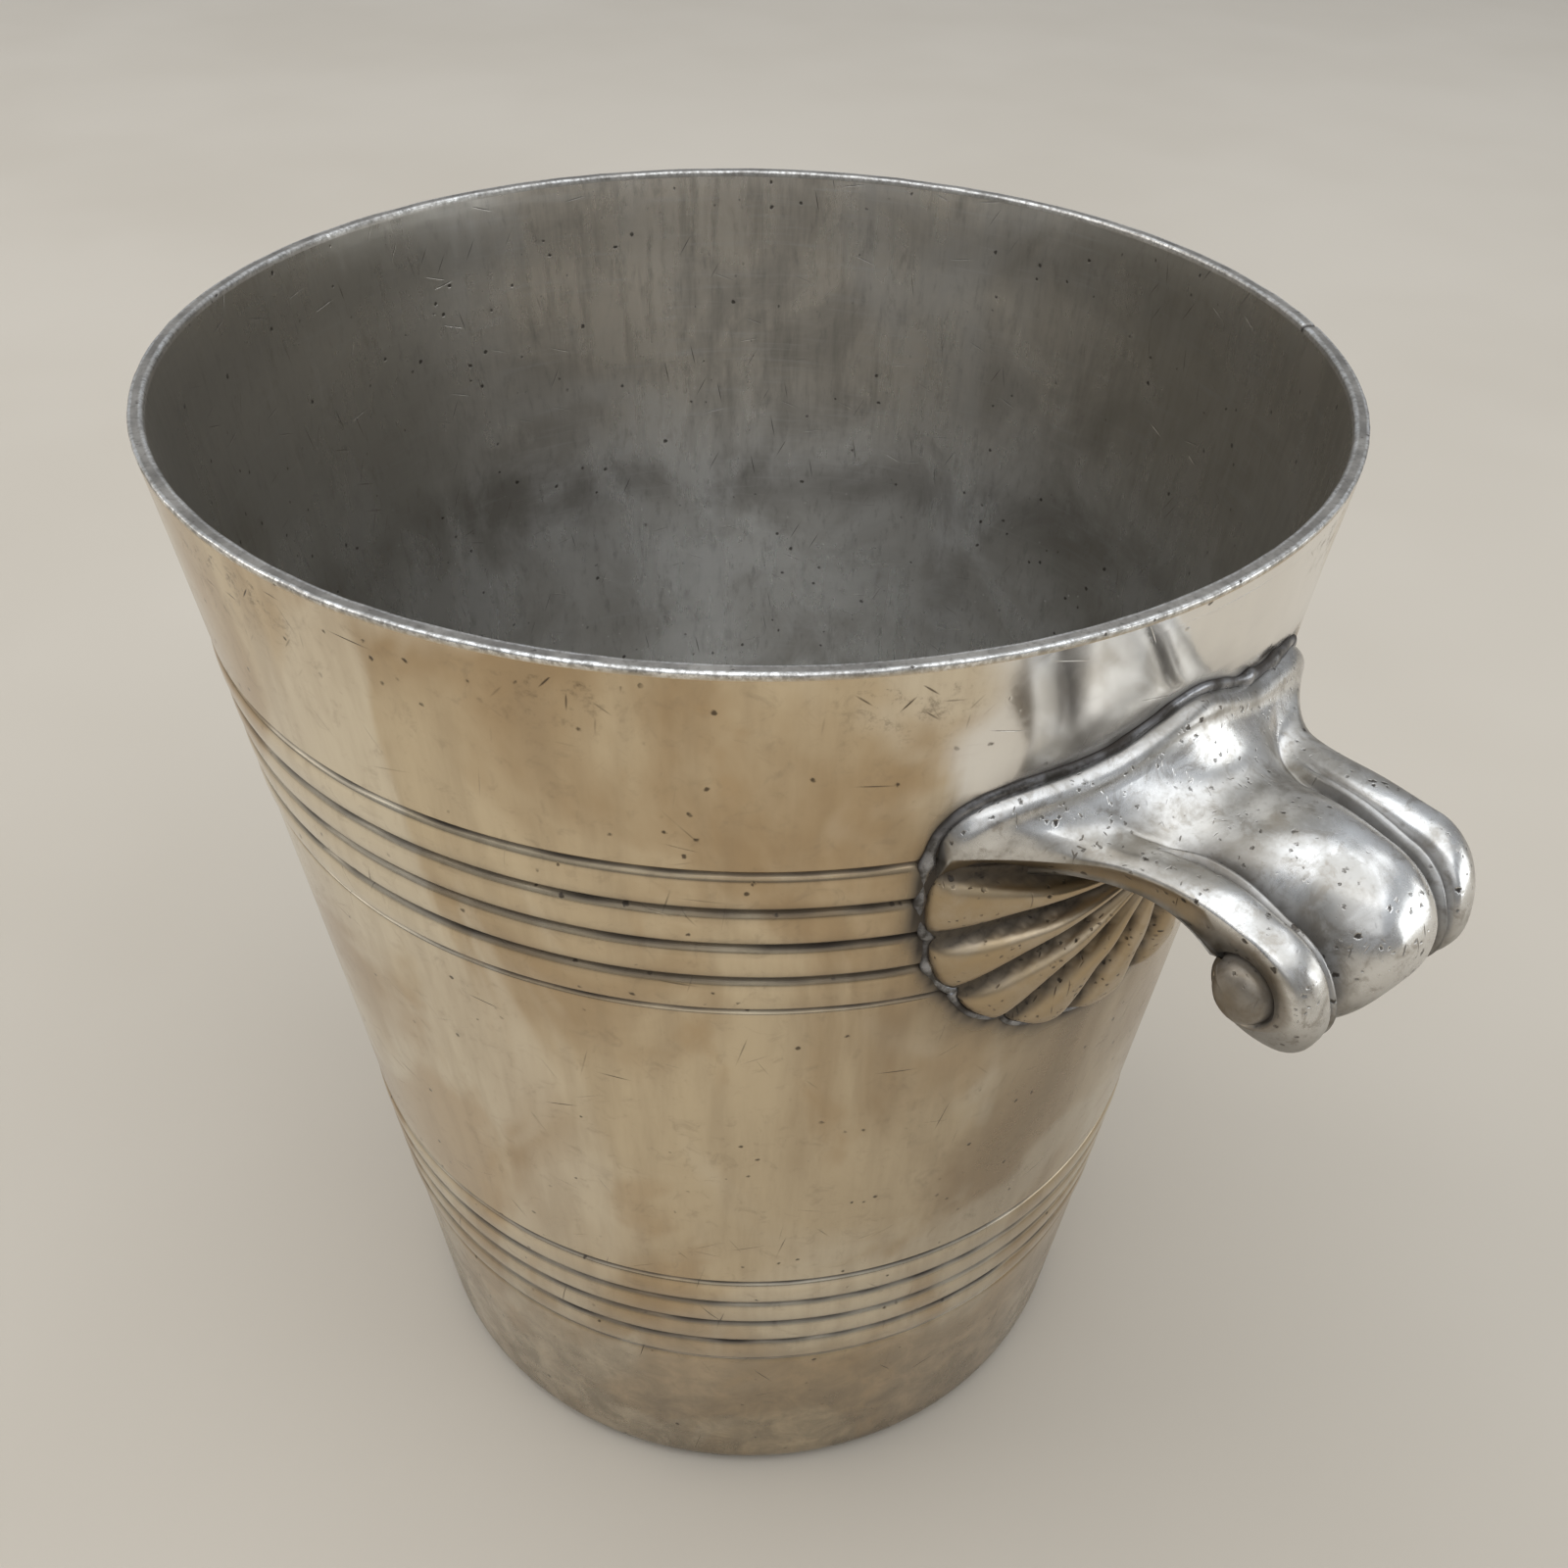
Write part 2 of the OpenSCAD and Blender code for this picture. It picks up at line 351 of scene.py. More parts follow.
def wall_heights():
    """Heights up the outside wall, close together round each groove."""
    top = BODY_H - RIM_H
    z = CORNER_R * 1.2
    heights = {z, top - JOINT_EDGE, top}
    while z < top:
        near = min(abs(z - height) for height, _ in GROOVES)
        z += WALL_STEPS[(near >= GROOVE_REACH) + (near >= GROOVE_PITCH)]
        heights.add(min(z, top))
    return sorted(heights)


def body_profile():
    """The half section, from the middle of the underside round to the middle of the floor."""
    profile = []
    cx = BASE_R + SLOPE * CORNER_R - CORNER_R * math.sqrt(1 + SLOPE * SLOPE)
    tilt = math.degrees(math.atan(SLOPE))
    for r in UNDER_RADII:
        profile.append((r, HOLLOW_H, "under", 0.0))
    for i in range(SLOPE_STEPS + 1):
        f = i / SLOPE_STEPS
        profile.append((mix(*SLOPE_RADII, f), HOLLOW_H * (1 - smooth(f)), "under", HOLLOW_DIRT))
    for i in range(CORNER_STEPS + 1):
        a = mix(-90, -tilt, i / CORNER_STEPS)
        profile.append((cx + CORNER_R * cosd(a), CORNER_R + CORNER_R * sind(a), "out", 0.0))
    for z in wall_heights():
        offset, dark = groove_shape(z)
        profile.append((wall_r(z) - offset, z, "out", dark))
    top = BODY_H - RIM_H
    profile.append((wall_r(top) - JOINT_EDGE, top, "out", 0.0))
    profile.append((wall_r(top) - RIM_W + JOINT_EDGE, top, "in", 0.0))
    heights = [mix(top - 1, CORNER_R, i / INSIDE_STEPS) for i in range(INSIDE_STEPS + 1)]
    for z in [top, top - JOINT_EDGE] + heights:
        swell = (RIM_W - WALL_T) * smooth((z - top + RIM_SWELL) / RIM_SWELL)
        profile.append((wall_r(z) - WALL_T - swell, z, "in", 0.0))
    for i in range(1, 9):
        a = mix(-tilt, -90, i / 8)
        r = CORNER_R - WALL_T
        profile.append((cx + r * cosd(a), CORNER_R + r * sind(a), "in", 0.0))
    for i in range(SLOPE_STEPS + 1):
        f = i / SLOPE_STEPS
        profile.append((mix(SLOPE_RADII[1], SLOPE_RADII[0], f), WALL_T + HOLLOW_H * smooth(f), "in", 0.0))
    for r in FLOOR_RADII:
        profile.append((r, HOLLOW_H + WALL_T, "in", 0.0))
    return profile


def crown(across):
    """Rise of the middle of the handle's upper outline over its square shoulders."""
    return CROWN_RISE * bell(across, CROWN_HALF)


def patch_r(c, s):
    """Distance from the hub to the outline, without its crown, in the direction (c, s)."""
    if s <= 0:
        return PATCH_R
    sum_of_powers = (abs(c) / PATCH_R) ** PATCH_POWER + (s / PATCH_RISE) ** PATCH_POWER
    return sum_of_powers ** (-1 / PATCH_POWER)


def patch_gap(x, y, z):
    """How far a point of the wall lies outside a handle's outline, in millimetres."""
    across = math.atan2(y, abs(x)) * wall_r(HUB_Z)
    up = z - HUB_Z
    if up > 0:
        up = max(0.0, up - crown(across))
    reach = math.hypot(across, up)
    if reach < 1:
        return -PATCH_RISE
    return reach - patch_r(across / reach, up / reach)


def grime_at(x, y, z):
    """Dirt on the outside wall: round the handles and round the base."""
    ragged = 1 + 0.6 * wobble(x, y, z, 5, 3.1)
    gap = max(patch_gap(x, y, z), 0) / ragged
    halo = 0.9 * bell(gap, 1.7) + 0.28 * bell(gap, 6.0)
    base = 0.6 * bell(z, 4.5 * ragged)
    return clamp(max(halo, base))


def pale_reflection_at(x, y, z):
    """Where a pale painted reflection lies on the wall above a handle, with a ragged edge."""
    across = abs(math.atan2(y, abs(x))) * wall_r(z)
    edge = REFLECTION_HALF + 7.0 * wobble(x, y, z, 14, 5.4)
    return clamp(smooth((edge - across) / 4.0) * smooth((z - REFLECTION_LOW) / 6.0))


def below_handle_shade_and_dullness(x, y, z):
    """Painted shade, browner, in the lee of a handle on the wall below it; the wall is duller there too.
    """
    across = math.atan2(y, abs(x)) * wall_r(z)
    down = HUB_Z - z
    ragged = 1 + 0.35 * wobble(x, y, z, 24, 8.8)
    fading = 1 - 0.6 * smooth((down - 60) / 90)
    return clamp(bell(across / ragged, 52.0) * smooth(down / 30.0) * fading)


def scuff_at(x, y, z):
    """Where knocks have scratched the wall: in a few patches below the mouth."""
    patch = clamp(wobble(x, y, z, 34, 7.7) * 3.0 - 0.1)
    return clamp(patch * bell(BODY_H - z, 11.0) * 1.3)


def out_of_round(x, y, z):
    """How far the spun wall has been knocked out of a true circle, growing toward the mouth."""
    a = math.atan2(y, x)
    side = a - math.radians(KNOCK_TURN)
    up = clamp(z / BODY_H)
    lift = KNOCK * up ** 4 * (0.25 + 0.5 * math.cos(side) + 0.25 * math.cos(2 * side))
    lift += clamp(z / 30) * (0.12 * wobble(x, y, z, 55, 1.0) + 0.03 * wobble(x, y, z, 17, 5.0))
    return lift


def build_body(materials):
    """The spun body: one closed skin of wall, floor and underside."""
    profile = body_profile()
    points = []
    masks = {"grime": [], "scuff": [], "pale_reflection": [], "dull": []}
    for r, z, part, dark in profile[1:-1]:
        for i in range(BODY_STEPS):
            a = 2 * math.pi * i / BODY_STEPS
            x, y = r * math.cos(a), r * math.sin(a)
            lift = out_of_round(x, y, z)
            smudge = 0.8 + 0.35 * wobble(x, y, z * 3, 7, 9.0)
            found = (clamp(dark * smudge), 0.0, 0.0, 0.0)
            if part == "out":
                near = bell(max(patch_gap(x, y, z), 0.0), 22.0)
                lift += near * DISTORTION * wobble(x, y, z, 13, 2.2)
                grime = clamp(max(dark * smudge, grime_at(x, y, z)))
                # Masks: dirt, scuffs, a pale painted reflection above the handles and painted shade below
                # them
                found = (grime, scuff_at(x, y, z), pale_reflection_at(x, y, z), below_handle_shade_and_dullness(x, y, z))
            f = (r + lift) / r
            points.append((x * f, y * f, z))
            for values, value in zip(masks.values(), found):
                values.append(value)
    rows = len(profile) - 2
    faces = ring_faces(rows, BODY_STEPS)
    names = {"out": 0, "in": 1, "under": 2}
    slots = []
    for r in range(rows - 1):
        slots += [names[profile[r + 2][2]]] * BODY_STEPS
    last = (rows - 1) * BODY_STEPS
    ends = ((len(points), profile[0][1], 0, True), (len(points) + 1, profile[-1][1], last, False))
    for index, z, first, under in ends:
        points.append((0.0, 0.0, z))
        for values in masks.values():
            values.append(0.0)
        for i in range(BODY_STEPS):
            a, b = first + i, first + (i + 1) % BODY_STEPS
            faces.append((index, b, a) if under else (index, a, b))
            slots.append(names["under"] if under else names["in"])
    piece = make_piece("body_silver", points, faces, masks, materials, slots)
    piece.data.set_sharp_from_angle(angle=SHARP)
    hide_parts("body_shell")
    return piece


# --- Rim wire ---
def rim_section():
    """Section of the rim wire as offsets from the wall's line, and how worn its edge is."""
    low = -RIM_H + JOINT_EDGE
    inner_r, outer_r = RIM_CORNERS
    section = [(-RIM_W + JOINT_EDGE, -RIM_H, 0.0), (-RIM_W, -RIM_H, 0.0), (-RIM_W, low, 0.0)]
    section.append((-RIM_W, -1.2, 0.1))
    for i in range(7):
        a = mix(180, 90, i / 6)
        section.append((-RIM_W + inner_r + inner_r * cosd(a), -inner_r + inner_r * sind(a), 0.7))
    for i in range(1, 5):
        section.append((mix(-RIM_W + inner_r, -outer_r, i / 5), 0.0, 0.0))
    for i in range(7):
        a = mix(90, 0, i / 6)
        section.append((-outer_r + outer_r * cosd(a), -outer_r + outer_r * sind(a), 1.0))
    section += [(0.0, -1.1, 0.3), (0.0, low, 0.0), (0.0, -RIM_H, 0.0), (-JOINT_EDGE, -RIM_H, 0.0)]
    return section


def build_rim(materials):
    """The wire soldered round the mouth, with a knocked edge and the line where its ends meet.

    Low down, its two faces carry on the inside's and the outside's materials.
    """
    section = rim_section()
    joint = math.radians(RIM_JOINT)
    points = []
    masks = {"worn": [], "grime": [], "outer": [], "inner": [], "pale_reflection": []}
    for i in range(RIM_STEPS):
        a = 2 * math.pi * i / RIM_STEPS
        ca, sa = math.cos(a), math.sin(a)
        seam = bell((a - joint) * RIM_R, 0.45)
        for off, up, edge in section:
            z = BODY_H + up
            r = wall_r(z) + off
            lift = out_of_round(r * ca, r * sa, z)
            knock = RIM_KNOCK * wobble(r * ca, r * sa, 0, 4.0, 2.0 + off) * clamp((up + 1.6) / 1.6)
            near_top = clamp((up + 1.2) / 1.2)
            dip = RIM_DIP * abs(wobble(r * ca, r * sa, 0, 11.0, 4.0)) * near_top
            r += lift + knock
            z -= dip + RIM_NICK * seam * near_top
            points.append((r * ca, r * sa, z))
            flank = smooth((-up - 0.4) / 0.7)
            masks["worn"].append(clamp(edge * (0.75 + 0.7 * wobble(r * ca, r * sa, 0, 9, 6.0))))
            masks["grime"].append(clamp(seam))
            masks["outer"].append(flank if off > -RIM_W / 2 else 0.0)
            masks["inner"].append(flank if off < -RIM_W / 2 else 0.0)
            # Mask of the pale painted reflection above the handles, also kept on the rim
            masks["pale_reflection"].append(pale_reflection_at(r * ca, r * sa, z))
    faces = ring_faces(RIM_STEPS, len(section), close_rows=True)
    slots = []
    for (off, up, _), (off2, up2, _) in zip(section, section[1:] + section[:1]):
        if max(up, up2) >= -1.0:
            slots.append(0)
        else:
            slots.append(1 if max(off, off2) < -1.0 else 2)
    piece = make_piece("rim_silver", points, faces, masks, materials, slots * RIM_STEPS)
    piece.data.set_sharp_from_angle(angle=SHARP)
    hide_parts("rim_wire")
    return piece


# --- Handle pieces ---
class Skin:
    """The points, faces and masks of one handle piece as it is put together."""

    def __init__(self):
        self.points = []
        self.faces = []
        self.masks = {"grime": [], "side": [], "worn": []}

    def add(self, point, grime, side=0.0, worn=0.0):
        """Adds a point and gives its number."""
        self.points.append(point)
        for key, value in (("grime", grime), ("side", side), ("worn", worn)):
            self.masks[key].append(value)
        return len(self.points) - 1

    def make(self, name, node, turn, material):
        """The piece, on its side of the bucket and with its faces turned outward."""
        points = self.points
        if turn:
            points = [(-x, -y, z) for x, y, z in points]
        piece = make_piece(name, points, self.faces, self.masks, [material])
        shape = bmesh.new()
        shape.from_mesh(piece.data)
        bmesh.ops.recalc_face_normals(shape, faces=shape.faces)
        shape.to_mesh(piece.data)
        shape.free()
        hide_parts(node)
        return piece


def roughen(p, amount, size, seed):
    """A cast surface's slight unevenness."""
    x, y, z = p
    return tuple(c + amount * wobble(x, y, z, size, seed + 3 * i) for i, c in enumerate(p))


def clear_of_wall(p):
    """A handle's point moved out so that it is sunk no deeper in the wall than its foot."""
    x, y, z = p
    least = wall_r(z) - BURIED - FOOT_SPARE
    grow = max(1.0, least / math.hypot(x, y))
    return x * grow, y * grow, z


# --- Handle arm ---
def patch_top(y):
    """Height of the handle's upper outline on the wall at an offset from its middle."""
    f = min(abs(y) / PATCH_R, 1.0)
    return HUB_Z + crown(y) + PATCH_RISE * (1 - f ** PATCH_POWER) ** (1 / PATCH_POWER)


def across_lines(v, values):
    """Blend of the four lines' values at a share of the half width."""
    v = abs(v)
    middle, valley, crest, edge = values
    _, at_valley, at_crest, at_edge = LINES
    if v < at_valley:
        return mix(middle, valley, (v / at_valley) ** LOBE_POWER)
    if v < at_crest:
        return mix(crest, valley, ((at_crest - v) / (at_crest - at_valley)) ** LOBE_POWER)
    return mix(crest, edge, clamp((v - at_crest) / (at_edge - at_crest)) ** EDGE_POWER)


def bead(v):
    """The thin bead in each valley between its two grooves, as a step up and as dirt."""
    v = abs(v)
    step = BEAD_H * bell(v - BEAD_V, BEAD_HALF)
    dark = 0.0
    for place, half, depth in BEAD_GROOVES:
        step -= depth * bell(v - place, half)
        dark = max(dark, bell(v - place, half * 1.2))
    return step, max(dark, VALLEY_DIRT * bell(v - LINES[1], VALLEY_HALF))


def arm_side(v, y_wall, s):
    """Offset across the arm at a share of the way out: it flares where it meets the wall."""
    return mix(v * ARM_HALF, y_wall, (1 - s) ** ROOT_FLARE)


def lip_points(v, inset):
    """From the foot in the wall over the rounded lip, and the height where the lip ends."""
    x0, y0, z0 = on_wall(-BURIED, v * ROOT_HALF, patch_top(v * ROOT_HALF))
    lip = min(LIP, LIP_LEAST + LIP_SHARE * (z0 - ROOT_LOW_EDGE - LIP_ROOM))
    points = [(x0, y0, z0 - inset, FOOT_DIRT, 0.0)]
    for i in range(LIP_STEPS):
        a = 90 * i / (LIP_STEPS - 1)
        x = x0 + BURIED + LIP_OUT + lip * sind(a)
        points.append((x, y0, z0 - lip * (1 - cosd(a)) - inset, LIP_DIRT * (1 - a / 90), LIP_WORN))
    return points, z0 - lip


def top_points(v, inset, start, z_lip):
    """Along the top, from the end of the lip to the curl."""
    step, dark = bead(v)
    points = []
    for i in range(1, TOP_STEPS):
        s = i / TOP_STEPS
        line = [curve(((0.0, z_lip),) + keys, s) for keys in TOP_LINES]
        fade = smooth((s - 0.3) / 0.25)
        z = across_lines(v, line) + step * fade - inset
        dirt = dark * fade * mix(0.75, 1.0, s)
        worn = max(1 - smooth(s / 0.3), smooth((s - 0.5) / 0.4))
        points.append((mix(start[0], CURL_X, s), arm_side(v, start[1], s), z, dirt, worn))
    return points


def curl_points(v, inset):
    """Round the curl, from its top over the outside to its inner end, and dirtier below."""
    step, dark = bead(v)
    points = []
    for i in range(CURL_STEPS + 1):
        a = mix(90.0, CURL_END, i / CURL_STEPS)
        line = [curve(sorted(keys), a) for keys in CURL_LINES]
        fade = smooth((a + 175) / 60)
        r = across_lines(v, line) + step * fade - inset
        half = ARM_HALF - ARM_TAPER * smooth((90 - a) / 110)
        dirt = max(dark * fade, CURL_DIRT * smooth((28 - a) / 78))
        worn = 1 - smooth((25 - a) / 65)
        points.append((CURL_X + r * cosd(a), v * half, CURL_Z + r * sind(a), dirt, worn))
    return points


def low_points(v, inset, x_end, z_end):
    """Along the underside, from the inner end of the curl back to the wall."""
    root_low = mix(ROOT_LOW_MIDDLE, ROOT_LOW_EDGE, v * v)
    x_wall, y_wall, _ = on_wall(-BURIED, v * ROOT_HALF, root_low)
    points = []
    for i in range(TOP_STEPS - 1, -1, -1):
        s = i / TOP_STEPS
        line = [curve(keys + ((1.0, z_end),), s) for keys in LOW_LINES]
        z = mix(line[0], line[1], v * v) + inset
        tuck = SIDE_TUCK * smooth(s / 0.07) * (1 - smooth((s - 0.12) / 0.75)) * v ** 5
        x = mix(x_wall, x_end, s) - 0.5 * abs(tuck)
        points.append((x, arm_side(v, y_wall, s) - tuck, z, LOW_DIRT, 0.0))
    return points


def arm_column(v, inset):
    """The closed loop of the arm at a share of its half width, as x, y, z, dirt and wear.

    It starts at the wall, goes over the lip and the top, round the curl and back below.
    """
    loop, z_lip = lip_points(v, inset)
    loop += top_points(v, inset, loop[-1], z_lip)
    loop += curl_points(v, inset)
    return loop + low_points(v, inset, loop[-1][0], loop[-1][2] - inset)


def arm_places():
    """Shares of the half width at each column, with the rounded edges' insets at both ends."""
    places = [(i / HALF_STEPS * (1 - EDGE_ROUND / ARM_HALF), 0.0) for i in range(HALF_STEPS + 1)]
    for i in range(1, EDGE_STEPS + 1):
        a = 90 * i / EDGE_STEPS
        v = 1 - EDGE_ROUND / ARM_HALF * (1 - sind(a))
        places.append((v, EDGE_ROUND * (1 - cosd(a))))
    return [(-v, inset) for v, inset in reversed(places[1:])] + places


def build_arm(name, node, turn, material):
    """One scroll arm: lip, top, curl and underside, then its two sides with their eyes."""
    skin = Skin()
    places = arm_places()
    for v, inset in places:
        for x, y, z, dirt, worn in arm_column(v, inset):
            skin.add((x, y, z), dirt, worn=worn)
    loop_n = len(skin.points) // len(places)
    skin.faces += ring_faces(len(places), loop_n)
    add_arm_side(skin, 0, loop_n, -1)
    add_arm_side(skin, (len(places) - 1) * loop_n, loop_n, 1)
    skin.points = [clear_of_wall(roughen(p, 0.13, 9.0, 11.0 * turn)) for p in skin.points]
    return skin.make(name, node, turn, material)


def add_arm_side(skin, first, loop_n, sign):
    """The side of the arm from the wall to the curl, and the eye of the scroll in its end."""
    foot = first + loop_n - 1
    steps = range(int(TOP_STEPS * SIDE_SHARE) + 1)
    top = [first + LIP_STEPS + i for i in steps]
    low = [foot - i for i in steps]
    rows = []
    for t, b in zip(top, low):
        row = [t]
        for k in range(1, SIDE_INNER + 1):
            f = k / (SIDE_INNER + 1)
            x, y, z = (mix(p, q, f) for p, q in zip(skin.points[t], skin.points[b]))
            row.append(skin.add((x, y - sign * SIDE_HOLLOW * sind(180 * f), z), SIDE_DIRT, side=1.0))
        rows.append(row + [b])
    skin.faces += [(i, i + 1, foot) for i in range(first, top[0] - 1)]
    skin.faces.append((top[0] - 1, *rows[0]))
    for a, b in zip(rows, rows[1:]):
        skin.faces += [(a[k], b[k], b[k + 1], a[k + 1]) for k in range(SIDE_INNER + 1)]
    outline = list(range(top[-1], low[-1] + 1)) + list(reversed(rows[-1][1:-1]))
    add_eye(skin, outline, sign)


def add_eye(skin, outline, sign):
    """Rings from the scroll's outline in over a dark crevice to the domed eye."""
    rings = [outline]
    for k, (radius, share, out) in enumerate(((0.0, 0.0, 0.0),) + EYE_RINGS):
        ring = []
        for o in outline:
            x, y, z = skin.points[o]
            dx, dz = x - EYE_X, z - EYE_Z
            reach = math.hypot(dx, dz)
            wide = smooth((reach - 5.3) / 0.9)
            r = min(radius, reach * share) if k else mix(reach, min(5.7, reach * 0.99), 0.5)
            step = out * wide if out < 0 else out
            y = mix(y, sign * EYE_SIDE, 1.0 if k else 0.5) + sign * step
            point = (EYE_X + dx / reach * r, y, EYE_Z + dz / reach * r)
            ring.append(skin.add(point, wide if out < -0.5 else EYE_DIRT, side=EYE_BROWN))
        rings.append(ring)
    tip = skin.add((EYE_X, sign * (EYE_SIDE + EYE_TIP), EYE_Z), EYE_TIP_DIRT, side=EYE_BROWN)
    count = len(outline)
    for a, b in zip(rings, rings[1:]):
        skin.faces += [(a[i], a[(i + 1) % count], b[(i + 1) % count], b[i]) for i in range(count)]
    skin.faces += [(b[i], b[(i + 1) % count], tip) for i in range(count)]


# --- Shell ---
def rib(place, half):
    """Section of one rib, from 0 in the valley to 1 on top, at a place from -0.5 to 0.5."""
    f = clamp(abs(place) / half)
    return (1 - f ** 3.6) ** 0.6


def scallop(angle):
    """A place across one rib of the fan, from -0.5 to 0.5, and how far its end stands out."""
    place = (angle / RIB_STEP + 0.5) % 1 - 0.5
    return place, SCALLOP * math.sqrt(max(0.0, 1 - (2 * place) ** 2))


def shell_point(angle, f, back):
    """A point of the shell's face or back, and how dark it is."""
    place, swell = scallop(angle)
    top = rib(place, mix(0.18, 0.39, smooth((f - 0.35) / 0.65)))
    r = f * (SHELL_R + swell)
    height = SHELL_FLOOR + SHELL_HUB_RISE * (1 - f) ** 2
    height += RIB_H * top * smooth(f * 1.8) * math.sqrt(max(0.0, 1 - f ** 9))
    if back:
        height = -BURIED
    dark = smooth((0.85 - top) / 0.6) * smooth(f * 3)
    return on_wall(height, r * cosd(angle), HUB_Z + r * sind(angle)), dark


def build_shell(name, node, turn, material):
    """One fan of ribs below the arm, closed by a back sunk in the wall."""
    steps = SHELL_RIBS * RIB_SAMPLES
    angles = [SHELL_START - SHELL_RIBS * RIB_STEP * i / steps for i in range(steps + 1)]
    skin = Skin()
    for back in (False, True):
        for k in range(1, SHELL_RINGS + 1):
            for a in angles:
                skin.add(*shell_point(a, (k / SHELL_RINGS) ** 0.8, back), side=1.0)
    hubs = [skin.add(*shell_point(0.0, 0.0, back), side=1.0) for back in (False, True)]
    cols = len(angles)
    half = SHELL_RINGS * cols
    edge = (SHELL_RINGS - 1) * cols
    faces = ring_faces(SHELL_RINGS, cols, close_cols=False)
    faces += ring_faces(SHELL_RINGS, cols, close_cols=False, first=half)
    faces += [(i, i + 1, half + i + 1, half + i) for i in range(edge, edge + cols - 1)]
    for first, hub in ((0, hubs[0]), (half, hubs[1])):
        faces += [(hub, first + i, first + i + 1) for i in range(cols - 1)]
    for c in (0, cols - 1):
        faces.append((hubs[0], c, half + c, hubs[1]))
        faces += [(a, a + cols, half + a + cols, half + a) for a in range(c, edge + c, cols)]
    skin.faces = faces
    skin.points = [roughen(p, 0.12, 7.0, 5.0 + turn) for p in skin.points]
    return skin.make(name, node, turn, material)


# --- Solder ---
def solder_path(a):
    """A point of the handle's outline, as an offset across and a height."""
    if sind(a) < 0:
        r = SHELL_R + 0.3 + scallop(a)[1]
        return r * cosd(a), HUB_Z + r * sind(a)
    r = patch_r(cosd(a), sind(a))
    return r * cosd(a), HUB_Z + r * sind(a) + crown(r * cosd(a)) * smooth(sind(a) * 6)


def solder_swell(across, z):
    """Extra solder where the upper grooves run in, and two drips at the top."""
    swell = 0.0
    if z < HUB_Z + 18:
        for height, _ in GROOVES[:GROOVE_N]:
            swell = max(swell, 0.75 * bell(z - height, 1.5))
    if z > HUB_Z + 10:
        for place, size in DRIPS:
            swell += size * bell(across - place, 2.0)
    return swell


def build_solder(name, node, turn, material):
    """The uneven fillet of solder all round one handle, black where it meets the silver."""
    skin = Skin()
    for i in range(SOLDER_STEPS):
        a = 360 * i / SOLDER_STEPS
        y, z = solder_path(a)
        y2, z2 = solder_path(a + 0.5)
        y1, z1 = solder_path(a - 0.5)
        length = math.hypot(y2 - y1, z2 - z1)
        ny, nz = (z2 - z1) / length, -(y2 - y1) / length
        swell = solder_swell(y, z)
        upper = smooth(sind(a) * 2)
        uneven = 1 + 0.35 * wobble(y, z, 0, 5.0, 8.0 + turn)
        wide = (0.55 + 0.6 * upper + 0.7 * swell) * uneven
        high = (0.4 + 0.35 * upper + 0.5 * swell) * uneven
        for k in range(SOLDER_SIDES):
            b = 360 * k / SOLDER_SIDES
            out = 0.4 + wide * cosd(b)
            h = high * sind(b) if sind(b) > 0 else BURIED * sind(b)
            bare = (0.75 + 0.5 * swell) * max(0.0, sind(b))
            dirt = clamp(1.15 - bare + 0.8 * wobble(y, z, 0, 4, 2.0))
            skin.add(on_wall(h, y + ny * out, z + nz * out), dirt)
    skin.faces = ring_faces(SOLDER_STEPS, SOLDER_SIDES, close_rows=True)
    skin.points = [roughen(p, 0.06, 2.2, 14.0 + turn) for p in skin.points]
    return skin.make(name, node, turn, material)


# --- Materials ---
# Colours are linear red, green and blue
DIRT = (0.030, 0.022, 0.016)
SKY_SIDE = (0.24, 0.235, 0.23)
SKY_TOP = (0.68, 0.73, 0.80)


class Nodes:
    """The node tree of a new material or world, with short calls for the nodes used here."""

    def __init__(self, data):
        data.use_nodes = True
        self.data = data
        self.tree = data.node_tree

    def put(self, socket, value):
        """Links a socket to another node's output, or gives it a number or a colour."""
        if isinstance(value, bpy.types.NodeSocket):
            self.tree.links.new(value, socket)
        elif hasattr(value, "__len__") and len(value) == 3 and len(socket.default_value) == 4:
            socket.default_value = (*value, 1)
        else:
            socket.default_value = value

    def add(self, kind, inputs, out=0, **settings):
        """A new node with its settings and inputs, by name or by number. Gives one output."""
        node = self.tree.nodes.new("ShaderNode" + kind)
        for key, value in settings.items():
            setattr(node, key, value)
        for key, value in inputs.items():
            self.put(node.inputs[key], value)
        return node.outputs[out]

    def scale(self, vector, by):
        """A vector with each part multiplied."""
        return self.add("VectorMath", {0: vector, 1: by}, operation="MULTIPLY")

    def math(self, kind, a, b=0.0, clamped=False):
        """One sum with two values."""
        return self.add("Math", {0: a, 1: b}, operation=kind, use_clamp=clamped)

    def times(self, a, b):
        return self.math("MULTIPLY", a, b)

    def plus(self, a, b):
        return self.math("ADD", a, b)

    def most(self, a, b):
        return self.math("MAXIMUM", a, b)

    def noise(self, vector, size, detail=3.0, rough=0.55, warp=0.0):
        """Noise from 0 to 1 whose features are about size millimetres."""
        inputs = {"Scale": 1.0 / size, "Detail": detail, "Roughness": rough, "Distortion": warp}
        return self.add("TexNoise", {"Vector": vector, **inputs}, "Fac")

    def cells(self, vector, size, kind="3D"):
        """Distance from scattered points, in shares of size millimetres."""
        inputs = {"Vector": vector, "Scale": 1.0 / size}
        return self.add("TexVoronoi", inputs, "Distance", voronoi_dimensions=kind)

    def step(self, value, low, high, start=0.0, end=1.0):
        """Value carried from the range low..high to start..end, smoothly and clamped."""
        inputs = {"Value": value, "From Min": low, "From Max": high, "To Min": start, "To Max": end}
        return self.add("MapRange", inputs, interpolation_type="SMOOTHSTEP")

    def blend(self, share, a, b):
        """Colour a, turning into colour b as the share goes from 0 to 1."""
        return self.add("Mix", {0: share, 6: a, 7: b}, 2, data_type="RGBA")

    def tinted(self, colour, *layers):
        """A colour with tints laid over it in turn, each where its mask is."""
        for tint, mask in layers:
            colour = self.blend(mask, colour, tint)
        return colour


